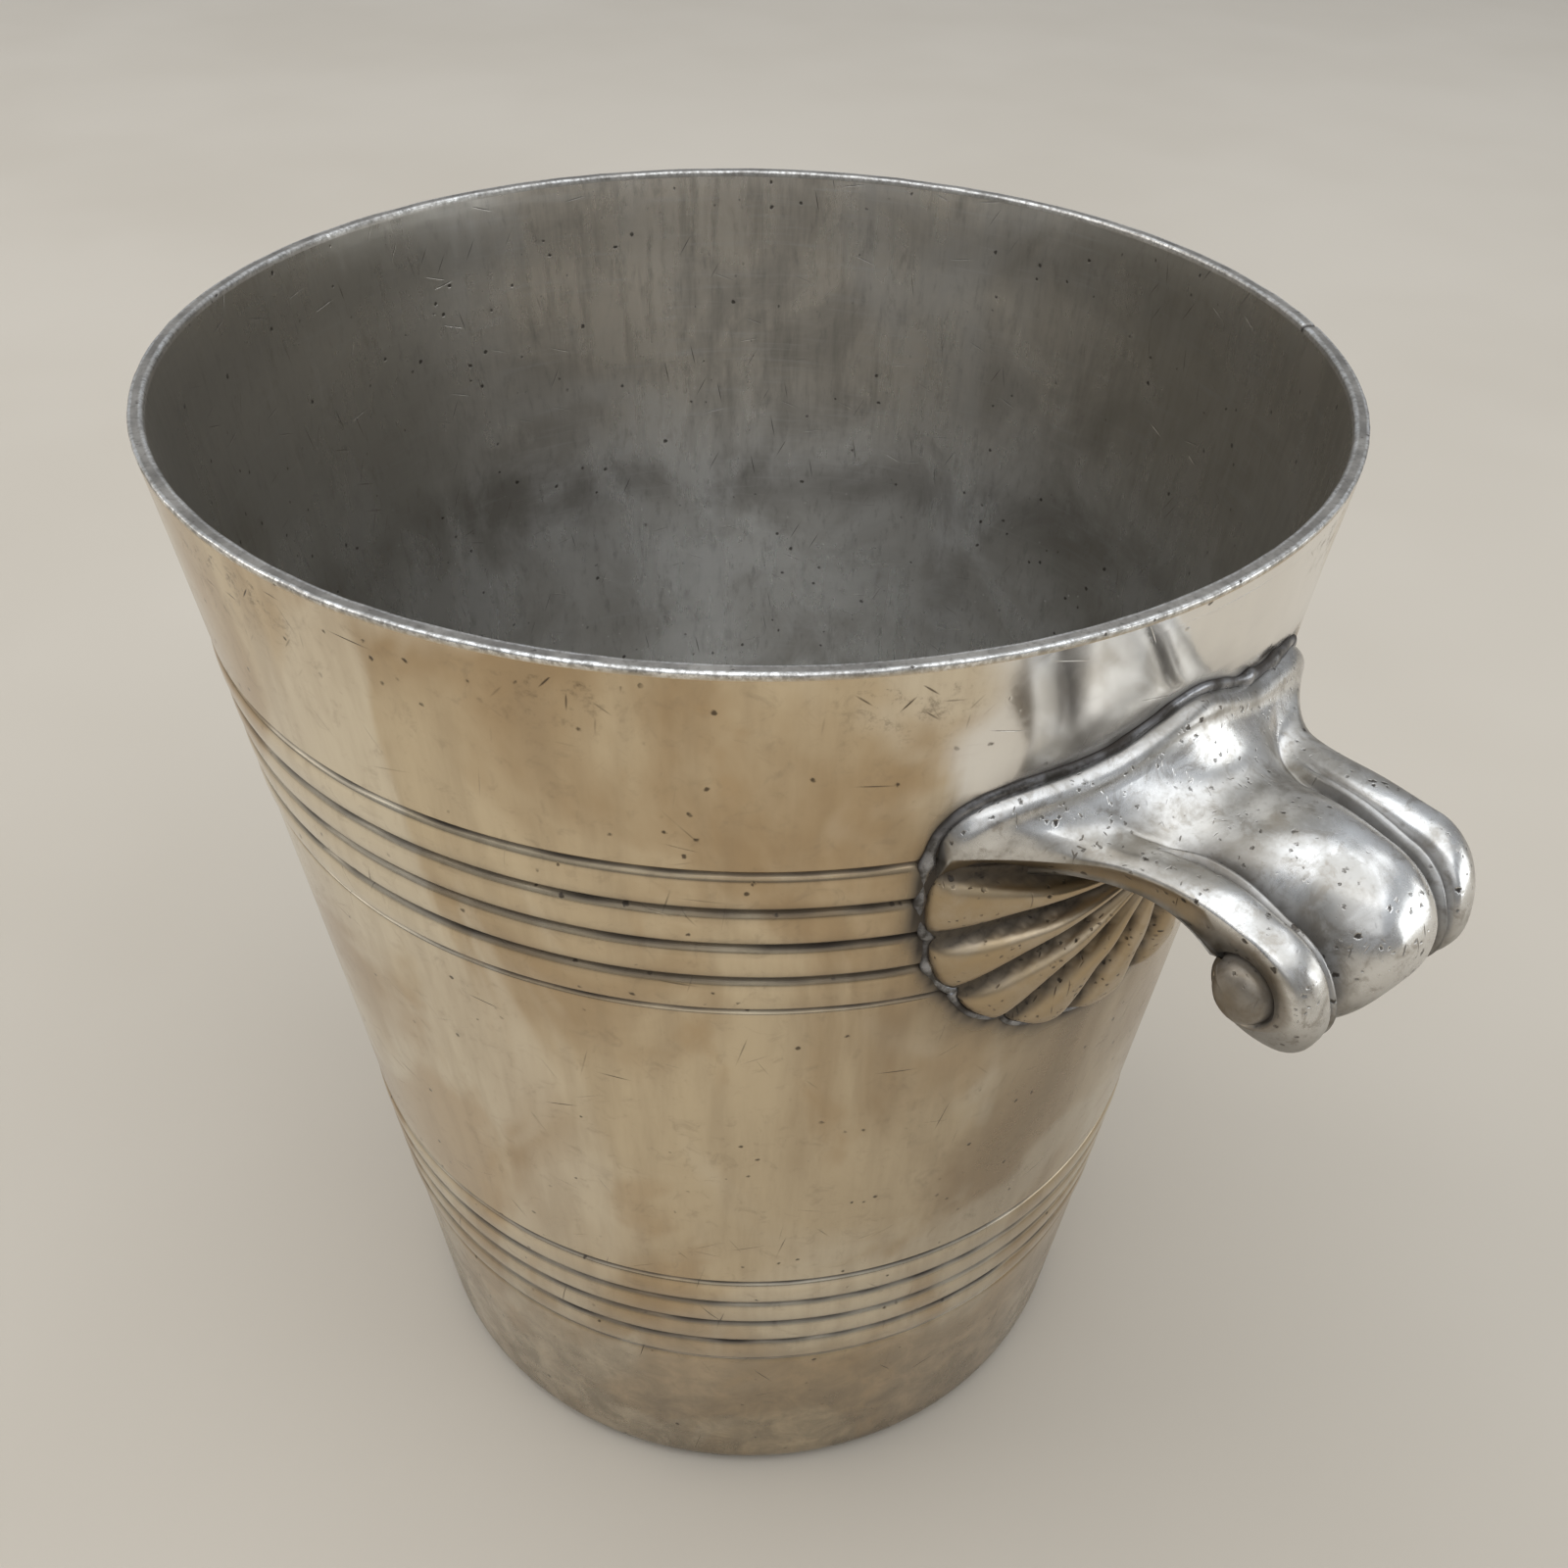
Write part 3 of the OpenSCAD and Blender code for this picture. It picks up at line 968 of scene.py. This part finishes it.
class Surface(Nodes):
    """A new material, with the place on the piece in millimetres and the piece's masks."""

    def __init__(self, name):
        super().__init__(bpy.data.materials.new(name))
        self.tree.nodes.clear()
        place = self.add("TexCoord", {}, "Object")
        self.place = self.scale(place, (1 / MM, 1 / MM, 1 / MM))

    def mask(self, name):
        """A mask stored on the piece's points."""
        return self.add("Attribute", {}, "Fac", attribute_name=name)

    def part(self, axis):
        """One part of the place, in millimetres."""
        return self.add("SeparateXYZ", {0: self.place}, axis)

    def around(self, stretch):
        """Place with its height divided by a stretch, for streaks that run up and down the wall."""
        return self.scale(self.place, (1, 1, 1 / stretch))

    def bands(self, stretch):
        """Place squeezed round the axis, for marks that run round the wall."""
        return self.scale(self.place, (1 / stretch, 1 / stretch, 1))

    def unrolled(self):
        """Place round the wall and up it, in millimetres, as on a sheet laid flat."""
        turn = self.math("ARCTAN2", self.part(1), self.part(0))
        return self.add("CombineXYZ", {0: self.times(turn, wall_r(HUB_Z)), 1: self.part(2)})

    def turn(self, sheet, degrees, scale):
        """Place on a sheet, turned, moved aside by a different amount for each turn, and scaled."""
        inputs = {"Vector": sheet, "Angle": math.radians(degrees)}
        spun = self.add("VectorRotate", inputs, rotation_type="Z_AXIS")
        aside = (degrees * 0.37, degrees * 0.73, 0)
        return self.add("Mapping", {"Vector": spun, "Location": aside, "Scale": scale})

    def bump(self, height, distance, strength, normal=None):
        """Bump whose height is given in shares of a distance in millimetres."""
        inputs = {"Height": height, "Distance": distance * MM, "Strength": strength}
        if normal is not None:
            inputs["Normal"] = normal
        return self.add("Bump", inputs)

    def finish(self, colour, roughness, normal, metallic=1.0):
        """The material, with a shader that has these values."""
        inputs = {"Base Color": colour, "Roughness": roughness, "Normal": normal, "Metallic": metallic}
        output = self.tree.nodes.new("ShaderNodeOutputMaterial")
        self.put(output.inputs[0], self.add("BsdfPrincipled", inputs))
        return self.data


def scratches(n, angles, size, stretch, thin, rare, sheet=None):
    """Short straight scratches lying along a surface in several directions, as a mask from 0 to 1."""
    found = None
    for degrees in angles:
        turned = n.turn(sheet or n.unrolled(), degrees, (1 / size, 1 / (size * stretch), 1))
        mark = n.step(n.cells(turned, 1.0, "2D"), thin * 0.3, thin, 1.0, 0.0)
        found = mark if found is None else n.most(found, mark)
    some = n.step(n.noise(n.place, 17.0, detail=2.0), rare, rare + 0.16)
    return n.times(found, some)


def pits(n, size, radius, share):
    """Small ragged pits scattered unevenly, as a mask from 0 to 1."""
    ragged = n.times(n.noise(n.place, size * 0.3, detail=2.0), radius * 2.4)
    near = n.math("SUBTRACT", n.plus(n.cells(n.place, size), ragged), radius * 1.2)
    spot = n.step(near, radius * 0.4, radius, 1.0, 0.0)
    some = n.step(n.noise(n.place, size * 2.7, detail=1.0), 1 - share, 1 - share + 0.08)
    return n.times(spot, some)


def with_dirt(n, colour, rough, grime):
    """Dull dark dirt over a metal: colour, roughness and how metallic it is."""
    colour = n.blend(n.times(grime, 0.96), colour, DIRT)
    rough = n.math("MAXIMUM", rough, n.times(grime, 0.75), clamped=True)
    metallic = n.step(grime, 0.25, 0.95, 1.0, 0.25)
    return colour, rough, metallic


def wall_shade_and_dullness(n, cloud):
    """Painted shade on the outside wall, which is also duller there: toward its base and in the lee of
    the handles.
    """
    low = n.step(n.part(2), 10.0, 90.0, 1.0, 0.0)
    mottle = n.noise(n.place, 9.0, detail=5.0, rough=0.65, warp=0.5)
    low = n.times(low, n.step(mottle, 0.22, 0.68, 0.25, 1.0))
    return n.most(low, n.times(n.mask("dull"), n.step(cloud, 0.25, 0.7, 0.75, 0.45)))


def wall_marks(n):
    """Scratches, and knocks and stains where the wall is scuffed."""
    lines = scratches(n, (15, 75, 95, 140), 6.0, 25.0, 0.030, 0.48)
    knocks = scratches(n, (5, 40, 95, 130), 3.4, 9.0, 0.06, 0.30)
    scuff = n.mask("scuff")
    stain = n.times(scuff, n.step(n.noise(n.place, 2.6, detail=6.0, rough=0.75), 0.50, 0.70))
    marks = n.most(n.times(lines, 0.8), n.times(knocks, scuff))
    return n.most(marks, n.times(stain, 0.7))


def warm_silver():
    """The outside wall: worn plate gone golden brown, with cloudy tarnish partly painted as reflections
    of floorboards, and fine scratches.
    """
    n = Surface("warm_silver")
    cloud = n.noise(n.around(1.8), 42, detail=5.0, rough=0.55, warp=0.8)
    streak = n.noise(n.around(10.0), 5.5, detail=4.0, rough=0.65)
    fine = n.noise(n.place, 4.0, detail=6.0, rough=0.7, warp=0.8)
    clear = n.noise(n.around(1.7), 62, detail=4.0, rough=0.5, warp=1.2)
    gold = n.noise(n.around(1.3), 48, detail=4.0, rough=0.5, warp=0.9)
    dull = wall_shade_and_dullness(n, cloud)
    marks = wall_marks(n)
    hairs = scratches(n, (8, 63, 104, 151), 5.0, 40.0, 0.018, 0.40)
    dots = pits(n, 3.8, 0.13, 0.50)
    # The cloudy, clear, golden and streaky patches run up the wall: partly tarnish and partly painted
    # reflections of floorboards
    colour = n.tinted(
        n.blend(n.step(cloud, 0.36, 0.64), (0.48, 0.355, 0.215), (0.72, 0.605, 0.425)),
        ((0.84, 0.765, 0.62), n.step(clear, 0.47, 0.56, 0.0, 0.68)),
        ((0.50, 0.35, 0.195), n.step(gold, 0.52, 0.62, 0.0, 0.55)),
        ((0.37, 0.285, 0.19), n.step(streak, 0.38, 0.72, 0.0, 0.3)),
        ((0.28, 0.22, 0.155), n.step(fine, 0.52, 0.72, 0.0, 0.28)),
        # A pale painted reflection on the wall above each handle
        ((0.93, 0.92, 0.90), n.times(n.mask("pale_reflection"), 0.8)),
        # Painted shade toward the base and below the handles
        ((0.24, 0.205, 0.16), n.times(dull, 0.8)),
        ((0.20, 0.155, 0.105), n.times(hairs, 0.35)),
        ((0.10, 0.075, 0.052), marks),
        ((0.07, 0.052, 0.038), n.times(dots, 0.85)),
    )
    rough = n.plus(n.step(cloud, 0.3, 0.7, 0.15, 0.08), n.times(dull, 0.18))
    rough = n.plus(rough, n.step(fine, 0.45, 0.75, 0.0, 0.07))
    rough = n.plus(rough, n.times(marks, 0.25))
    colour, rough, metallic = with_dirt(n, colour, rough, n.mask("grime"))
    normal = n.bump(n.noise(n.around(3.0), 13.0, detail=3.0), 0.10, 0.5)
    normal = n.bump(fine, 0.03, 0.35, normal)
    normal = n.bump(n.most(n.most(marks, dots), hairs), -0.05, 0.7, normal)
    return n.finish(colour, rough, normal, metallic)


def inside_painted_shade(n, cloud):
    """Painted shade on the inside: darker toward both ends of a line across the mouth."""
    across = n.plus(n.times(n.part(0), INSIDE_SHADE_LINE[0]), n.times(n.part(1), INSIDE_SHADE_LINE[1]))
    return n.step(n.plus(n.math("ABSOLUTE", across), n.times(cloud, 20.0)), 55.0, 95.0)


def inside_silver():
    """The inside: dull grey brown, brushed up and down near the mouth, with a darker band, and painted
    shade at two sides.
    """
    n = Surface("inside_silver")
    height = n.part(2)
    sway = n.times(n.noise(n.place, 38, detail=3.0), 22.0)
    level = n.math("SUBTRACT", n.plus(height, sway), 11.0)
    streak = n.noise(n.around(14.0), 3.6, detail=4.0, rough=0.65)
    cloud = n.noise(n.place, 26, detail=5.0, rough=0.6, warp=0.5)
    fine = n.noise(n.around(3.0), 2.0, detail=4.0, rough=0.7)
    rings = n.noise(n.bands(16.0), 1.1, detail=3.0)
    patch = n.noise(n.around(1.4), 55, detail=4.0, rough=0.5, warp=1.0)
    upper = n.step(level, 150.0, 186.0)
    band = n.times(n.step(level, 143.0, 155.0), n.step(level, 155.0, 166.0, 1.0, 0.0))
    band = n.times(band, n.step(cloud, 0.3, 0.6, 0.15, 1.0))
    dots = pits(n, 4.2, 0.12, 0.58)
    specks = pits(n, 3.6, 0.09, 0.55)
    lines = scratches(n, (12, 70, 100, 150), 4.6, 20.0, 0.034, 0.42)
    colour = n.tinted(
        n.blend(upper, (0.90, 0.895, 0.88), (0.76, 0.70, 0.61)),
        ((0.36, 0.335, 0.295), n.step(cloud, 0.35, 0.66, 0.0, 0.68)),
        ((0.26, 0.235, 0.195), n.times(upper, n.step(streak, 0.4, 0.7, 0.0, 0.45))),
        ((0.76, 0.74, 0.70), n.step(patch, 0.44, 0.60, 0.0, 0.5)),
        ((0.20, 0.185, 0.165), n.step(fine, 0.5, 0.75, 0.0, 0.35)),
        ((0.16, 0.14, 0.12), n.times(band, 0.38)),
        ((0.74, 0.74, 0.73), n.step(rings, 0.52, 0.75, 0.0, 0.25)),
        # Painted shade toward two sides of the inside
        ((0.20, 0.18, 0.14), n.times(inside_painted_shade(n, cloud), 0.68)),
        ((0.06, 0.05, 0.042), n.times(dots, 0.85)),
        ((0.12, 0.105, 0.09), n.times(lines, 0.7)),
        ((0.90, 0.89, 0.86), n.times(specks, n.step(height, 110.0, 180.0, 0.9, 0.0))),
    )
    rough = n.plus(n.step(cloud, 0.3, 0.7, 0.27, 0.35), n.step(streak, 0.4, 0.8, -0.03, 0.05))
    normal = n.bump(streak, 0.04, 0.4)
    normal = n.bump(rings, 0.02, 0.4, normal)
    normal = n.bump(n.most(lines, dots), -0.05, 0.7, normal)
    return n.finish(colour, rough, normal, 0.85)


def under_silver():
    """The underside: duller and darker, with scuffs where the bucket has been slid about."""
    n = Surface("under_silver")
    cloud = n.noise(n.place, 14, detail=6.0, rough=0.65, warp=0.6)
    lines = scratches(n, (0, 35, 80, 125), 2.4, 12.0, 0.05, 0.35, sheet=n.place)
    colour = n.blend(n.step(cloud, 0.35, 0.65), (0.20, 0.17, 0.13), (0.42, 0.37, 0.29))
    colour = n.blend(n.times(lines, 0.7), colour, (0.62, 0.57, 0.47))
    rough = n.step(cloud, 0.3, 0.7, 0.52, 0.38)
    normal = n.bump(cloud, 0.06, 0.4)
    normal = n.bump(lines, -0.02, 0.6, normal)
    return n.finish(colour, rough, normal)


def rim_silver():
    """The rim wire: grey on its worn flat top and bright along its edges."""
    n = Surface("rim_silver")
    cloud = n.noise(n.place, 9.0, detail=5.0, rough=0.65)
    fine = n.noise(n.place, 1.0, detail=4.0, rough=0.7)
    worn = n.times(n.mask("worn"), n.step(fine, 0.34, 0.60, 1.0, 0.25))
    dots = pits(n, 2.2, 0.16, 0.5)
    colour = n.tinted(
        n.blend(n.step(cloud, 0.34, 0.66), (0.20, 0.185, 0.165), (0.36, 0.335, 0.30)),
        ((0.10, 0.088, 0.075), n.step(fine, 0.5, 0.72, 0.0, 0.6)),
        ((0.58, 0.47, 0.32), n.mask("outer")),
        ((0.42, 0.385, 0.335), n.mask("inner")),
        ((0.93, 0.92, 0.89), worn),
        ((0.045, 0.036, 0.028), n.most(n.times(dots, 0.8), n.mask("grime"))),
    )
    rough = n.step(worn, 0.0, 1.0, 0.46, 0.2)
    normal = n.bump(fine, 0.06, 0.5)
    normal = n.bump(dots, -0.08, 0.7, normal)
    return n.finish(colour, rough, normal)


def handle_silver():
    """The cast handles: bright worn tops, brown sides and dark hollows, with small pits."""
    n = Surface("handle_silver")
    cloud = n.noise(n.place, 12, detail=5.0, rough=0.6, warp=0.5)
    fine = n.noise(n.place, 2.2, detail=5.0, rough=0.7)
    mottle = n.noise(n.place, 3.6, detail=5.0, rough=0.7, warp=0.6)
    worn = n.times(n.mask("worn"), n.step(cloud, 0.3, 0.6, 0.25, 0.65))
    dots = n.most(pits(n, 2.9, 0.19, 0.52), n.times(pits(n, 1.5, 0.24, 0.5), 0.75))
    lines = scratches(n, (10, 55, 100, 150), 2.8, 3.2, 0.05, 0.46, sheet=n.place)
    colour = n.tinted(
        n.blend(n.step(cloud, 0.36, 0.62), (0.29, 0.265, 0.225), (0.57, 0.55, 0.515)),
        ((0.83, 0.825, 0.81), worn),
        ((0.26, 0.225, 0.18), n.step(mottle, 0.50, 0.66, 0.0, 0.5)),
        ((0.28, 0.245, 0.20), n.step(fine, 0.5, 0.75, 0.0, 0.45)),
        ((0.45, 0.34, 0.205), n.times(n.mask("side"), n.step(cloud, 0.25, 0.7, 1.0, 0.75))),
        ((0.12, 0.10, 0.08), n.times(lines, 0.65)),
        ((0.06, 0.05, 0.04), n.times(dots, 0.9)),
    )
    rough = n.plus(n.step(worn, 0.0, 0.7, 0.36, 0.20), n.step(fine, 0.4, 0.8, 0.0, 0.14))
    grime = n.times(n.mask("grime"), n.step(fine, 0.25, 0.6, 1.0, 0.85))
    colour, rough, metallic = with_dirt(n, colour, rough, grime)
    normal = n.bump(n.noise(n.place, 5.0, detail=2.0), 0.10, 0.5)
    normal = n.bump(fine, 0.05, 0.4, normal)
    normal = n.bump(n.most(lines, dots), -0.12, 0.8, normal)
    return n.finish(colour, rough, normal, metallic)


def solder_grey():
    """Old soft solder: mid grey and dull, with black lines where it meets the silver."""
    n = Surface("solder_grey")
    cloud = n.noise(n.place, 4.0, detail=5.0, rough=0.65)
    colour = n.blend(n.step(cloud, 0.38, 0.62), (0.08, 0.076, 0.07), (0.36, 0.362, 0.375))
    rough = n.step(cloud, 0.3, 0.7, 0.42, 0.22)
    colour, rough, metallic = with_dirt(n, colour, rough, n.mask("grime"))
    return n.finish(colour, rough, n.bump(cloud, 0.15, 0.5), metallic)


def pale_floor():
    """A plain matt ground, a little uneven in colour."""
    n = Surface("pale_floor")
    cloud = n.noise(n.place, 300, detail=3.0)
    colour = n.blend(n.step(cloud, 0.3, 0.7), (0.46, 0.41, 0.34), (0.49, 0.44, 0.37))
    normal = n.bump(n.noise(n.place, 3.0, detail=3.0), 0.05, 0.3)
    return n.finish(colour, 0.75, normal, metallic=0.0)


# --- Stage, light and camera ---
FLOOR_HALF = 3.0
CAMERA_AT = (0.2013, -0.1573, 0.3283)
CAMERA_TURN = 50.66
CAMERA_TILT = 52.15
CAMERA_ROLL = 1.5
CAMERA_LENS = 35.87
# Lights: name, place, what it points at, width and height, watts and colour
LIGHTS = (
    ("overhead", (0.1, 0.1, 1.9), (0, 0, 0.1), (2.8, 2.8), 29.0, (0.94, 0.97, 1.0)),
    ("key", (-1.2, -1.2, 1.2), (0, 0, 0.12), (1.5, 1.5), 11.0, (1.0, 0.97, 0.92)),
    ("front", (1.2, -1.1, 1.7), (0, 0, 0.16), (2.2, 2.2), 7.0, (1.0, 0.99, 0.97)),
    ("side", (1.3, 1.2, 0.45), (0.1, 0, 0.16), (1.5, 0.8), 8.0, (0.93, 0.97, 1.0)),
)


def build_floor():
    """The ground that the bucket stands on."""
    mesh = bpy.data.meshes.new("floor")
    h = FLOOR_HALF
    mesh.from_pydata([(-h, -h, 0), (h, -h, 0), (h, h, 0), (-h, h, 0)], [], [(0, 1, 2, 3)])
    mesh.materials.append(pale_floor())
    floor = add_object("floor", mesh)


def add_light(name, at, toward, size, power, colour):
    """A soft rectangular light, turned toward a point."""
    data = bpy.data.lights.new(name, "AREA")
    data.shape = "RECTANGLE"
    data.size, data.size_y = size
    data.energy = power
    data.color = colour
    light = add_object(name, data)
    light.location = at
    light.rotation_euler = (Vector(toward) - Vector(at)).to_track_quat("-Z", "Y").to_euler()


def build_world():
    """A soft sky, lighter overhead than at the sides."""
    sky = Nodes(bpy.data.worlds.new("soft_sky"))
    height = sky.add("SeparateXYZ", {0: sky.add("TexCoord", {}, "Generated")}, 2)
    rise = sky.add("MapRange", {"Value": height, "From Min": -0.1, "From Max": 0.9})
    background = sky.tree.nodes["Background"]
    sky.put(background.inputs["Color"], sky.blend(rise, SKY_SIDE, SKY_TOP))
    sky.put(background.inputs["Strength"], 1.0)
    bpy.context.scene.world = sky.data


def build_camera():
    """The camera, where it stood for the photo."""
    data = bpy.data.cameras.new("camera")
    data.lens = CAMERA_LENS
    data.sensor_width = 36.0
    data.clip_start = 0.01
    camera = add_object("camera", data)
    turn = Matrix.Rotation(math.radians(CAMERA_TURN), 4, "Z")
    tilt = Matrix.Rotation(math.radians(CAMERA_TILT), 4, "X")
    roll = Matrix.Rotation(math.radians(CAMERA_ROLL), 4, "Z")
    camera.matrix_world = Matrix.Translation(CAMERA_AT) @ turn @ tilt @ roll
    bpy.context.scene.camera = camera


def build_bucket():
    """Every piece of the bucket, over its CAD node."""
    outside, inside = warm_silver(), inside_silver()
    build_body([outside, inside, under_silver()])
    build_rim([rim_silver(), inside, outside])
    cast = handle_silver()
    solder = solder_grey()
    for turn, side in enumerate(("right", "left")):
        arm = build_arm(side + "_arm_cast", side + "_handle_arm", turn, cast)
        shell = build_shell(side + "_shell_cast", side + "_handle_shell", turn, cast)
        fillet = build_solder(side + "_solder_fillet", side + "_handle_solder", turn, solder)


build_bucket()
build_floor()
build_world()
for light in LIGHTS:
    add_light(*light)
bpy.context.scene.view_settings.view_transform = "Standard"
build_camera()
